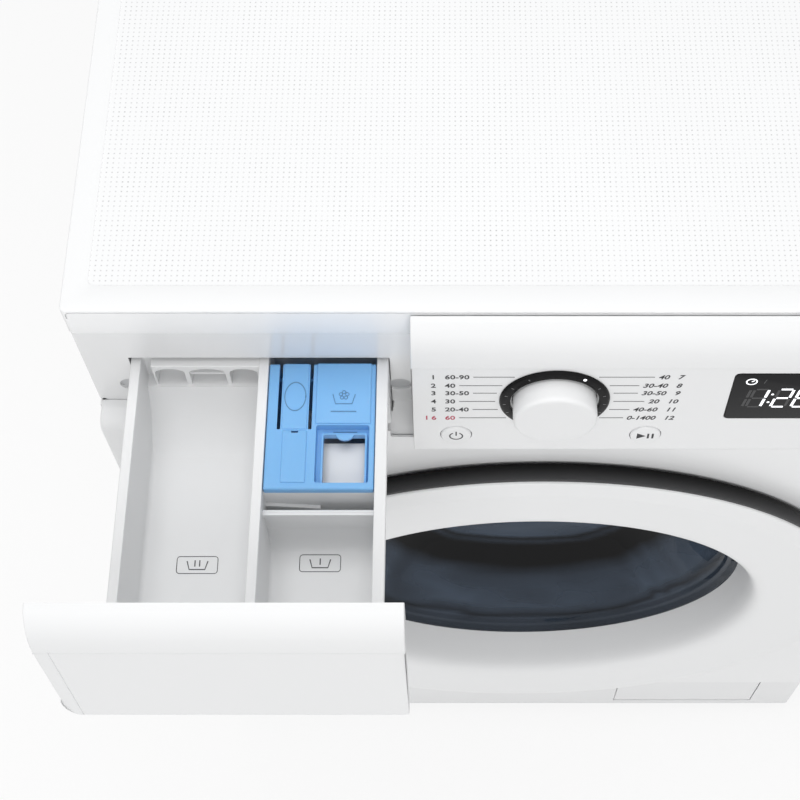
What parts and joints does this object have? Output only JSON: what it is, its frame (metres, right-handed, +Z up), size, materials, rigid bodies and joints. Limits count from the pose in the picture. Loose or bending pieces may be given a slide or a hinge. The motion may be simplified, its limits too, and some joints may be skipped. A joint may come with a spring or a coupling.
{
  "type": "front load washing machine",
  "caption": "Free-standing front load washing machine with a round glass door, a program dial and an open detergent drawer.",
  "frame": {"origin": "centre of the bounding box's bottom face, on the floor, with the drawer open", "axes": "+X to the right of someone facing the door, +Z up, the door and drawer towards -Y"},
  "size_m": [0.6, 0.77, 0.85],
  "materials": {
    "enamel": "satin",
    "white_plastic": "satin",
    "grey_plastic": "matte",
    "charcoal": "satin",
    "display_black": "gloss",
    "insert_blue": "satin",
    "grey_rubber": "matte",
    "black_rubber": "matte",
    "zinc_steel": "satin",
    "stainless": "satin",
    "tub_plastic": "matte",
    "counterweight": "matte",
    "door_glass": "gloss",
    "winding": "satin"
  },
  "bodies": {
    "cabinet": {"cabinet_body": "enamel", "rear_cover": "zinc_steel", "lid": "white_plastic", "front_panel": "enamel", "panel_frame": "white_plastic", "control_panel": "white_plastic", "kick_plate": "white_plastic", "base_frame": "zinc_steel", "display_window": "display_black", "dial_ring": "charcoal", "control_board": "charcoal", "dispenser_housing": "grey_plastic", "inlet_valve": "white_plastic", "fill_hose": "grey_rubber", "drain_pump": "grey_plastic", "sump_hose": "black_rubber", "drain_hose": "grey_plastic", "power_gland": "black_rubber", "hinge_bracket": "zinc_steel", "door_lock": "charcoal", "door_gasket": "grey_rubber", "tub_spring_left": "zinc_steel", "tub_spring_right": "zinc_steel", "damper_cylinder_left": "charcoal", "damper_cylinder_right": "charcoal"},
    "drawer": {"drawer_tray": "white_plastic", "drawer_front": "white_plastic"},
    "insert": {"softener_insert": "insert_blue"},
    "door": {"door_outer_frame": "white_plastic", "door_trim_band": "charcoal", "door_inner_frame": "grey_plastic", "door_glass": "door_glass"},
    "latch": {"latch_hook": "white_plastic"},
    "tub": {"tub_front": "tub_plastic", "tub_rear": "tub_plastic", "dispenser_hose": "black_rubber", "counterweight_upper": "counterweight", "counterweight_lower": "counterweight", "heater": "stainless", "bearing_front": "stainless", "bearing_rear": "stainless", "stator": "winding", "damper_rod_left": "zinc_steel", "damper_rod_right": "zinc_steel"},
    "drum": {"drum": "stainless", "drum_lifter_1": "grey_plastic", "drum_lifter_2": "grey_plastic", "drum_lifter_3": "grey_plastic", "drum_spider": "stainless", "motor_rotor": "zinc_steel"},
    "knob": {"program_knob": "white_plastic"},
    "power": {"power_button": "white_plastic"},
    "start": {"start_button": "white_plastic"},
    "hatch": {"pump_hatch": "white_plastic"},
    "filter": {"pump_filter": "grey_plastic"},
    "foot_fl": {"foot_front_left": "black_rubber"},
    "foot_fr": {"foot_front_right": "black_rubber"},
    "foot_rl": {"foot_rear_left": "black_rubber"},
    "foot_rr": {"foot_rear_right": "black_rubber"}
  },
  "joints": [
    {"name": "drawer_slide", "type": "slide", "parent": "cabinet", "child": "drawer", "axis": [0, -1, 0], "range_m": [-0.18, 0]},
    {"name": "insert_lift", "type": "slide", "parent": "drawer", "child": "insert", "axis": [0, 0, 1], "range_m": [0, 0.08]},
    {"name": "door_hinge", "type": "hinge", "parent": "cabinet", "child": "door", "pos_m": [-0.26, -0.2025, 0.404], "axis": [0, 0, -1], "range_deg": [0, 120]},
    {"name": "latch_pivot", "type": "hinge", "parent": "door", "child": "latch", "pos_m": [0.225, -0.204, 0.404], "axis": [0, 0, 1], "range_deg": [0, 7], "stiffness_Nm_per_rad": 0.5},
    {"name": "tub_bounce", "type": "slide", "parent": "cabinet", "child": "tub", "axis": [0, 0, 1], "range_m": [-0.006, 0.006], "stiffness_N_per_m": 12000, "springref_m": 0.0427, "deforming": ["tub_spring_left", "tub_spring_right"]},
    {"name": "drum_spin", "type": "hinge", "parent": "tub", "child": "drum", "pos_m": [0, 0, 0.404], "axis": [0, 1, 0], "continuous": true},
    {"name": "knob_turn", "type": "hinge", "parent": "cabinet", "child": "knob", "pos_m": [0, -0.20029, 0.778], "axis": [0, 0.9969, -0.0782], "continuous": true},
    {"name": "power_press", "type": "slide", "parent": "cabinet", "child": "power", "axis": [0, 0.9969, -0.0782], "range_m": [0, 0.0012], "stiffness_N_per_m": 1500},
    {"name": "start_press", "type": "slide", "parent": "cabinet", "child": "start", "axis": [0, 0.9969, -0.0782], "range_m": [0, 0.0012], "stiffness_N_per_m": 1500},
    {"name": "hatch_flap", "type": "hinge", "parent": "cabinet", "child": "hatch", "pos_m": [0.182, -0.18175, 0.0245], "axis": [1, 0, 0], "range_deg": [0, 95]},
    {"name": "filter_turn", "type": "hinge", "parent": "cabinet", "child": "filter", "pos_m": [0.182, -0.165, 0.064], "axis": [0, 1, 0], "range_deg": [0, 270]},
    {"name": "foot_fl_turn", "type": "hinge", "parent": "cabinet", "child": "foot_fl", "pos_m": [-0.255, -0.142, 0], "axis": [0, 0, 1], "continuous": true},
    {"name": "foot_fr_turn", "type": "hinge", "parent": "cabinet", "child": "foot_fr", "pos_m": [0.255, -0.142, 0], "axis": [0, 0, 1], "continuous": true},
    {"name": "foot_rl_turn", "type": "hinge", "parent": "cabinet", "child": "foot_rl", "pos_m": [-0.255, 0.328, 0], "axis": [0, 0, 1], "continuous": true},
    {"name": "foot_rr_turn", "type": "hinge", "parent": "cabinet", "child": "foot_rr", "pos_m": [0.255, 0.328, 0], "axis": [0, 0, 1], "continuous": true}
  ]
}
